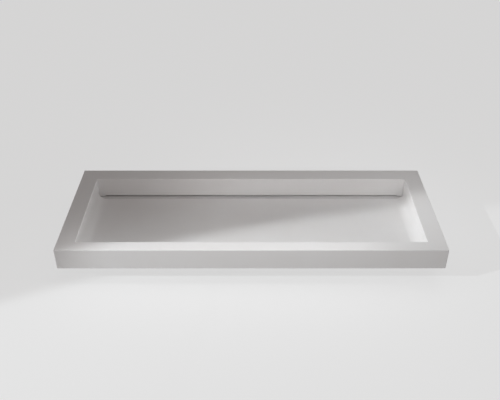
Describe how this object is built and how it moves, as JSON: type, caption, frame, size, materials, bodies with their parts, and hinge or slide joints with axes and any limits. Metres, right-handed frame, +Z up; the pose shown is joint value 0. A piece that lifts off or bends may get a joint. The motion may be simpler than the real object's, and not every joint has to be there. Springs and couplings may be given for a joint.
{
  "type": "washbasin",
  "caption": "Wide wall-hung rectangular washbasin in matt white with a shallow bowl that falls to a hidden trough behind a lift-out rear panel, on concealed brackets.",
  "frame": {"origin": "centre of the wall bolt holes, on the wall plane at the back of the basin", "axes": "+X to the right along the basin's length, +Y into the wall so that the front faces -Y, +Z up"},
  "size_m": [1.2, 0.46, 0.1382],
  "materials": {
    "basin_white": "matte",
    "panel_white": "matte",
    "soft_pad": "matte",
    "magnet": "polished",
    "stainless": "satin",
    "seal_rubber": "matte",
    "waste_chrome": "polished",
    "bracket_steel": "satin",
    "insert_brass": "satin",
    "fastener_steel": "satin"
  },
  "bodies": {
    "basin": {"basin_shell": "basin_white", "trough_tray": "basin_white", "rim_magnets": "magnet", "waste_grid": "stainless", "waste_screw": "stainless", "waste_upper_seal": "seal_rubber", "waste_lower_seal": "seal_rubber", "waste_body": "waste_chrome", "bracket_right": "bracket_steel", "bracket_left": "bracket_steel", "bracket_pads": "seal_rubber", "threaded_inserts": "insert_brass", "bracket_washers": "fastener_steel", "bracket_screws": "fastener_steel"},
    "panel": {"access_panel": "panel_white", "panel_feet": "soft_pad", "panel_magnets": "magnet"}
  },
  "joints": [
    {"name": "panel_lift", "type": "slide", "parent": "basin", "child": "panel", "axis": [0, 0, 1], "range_m": [0, 0.1]}
  ]
}
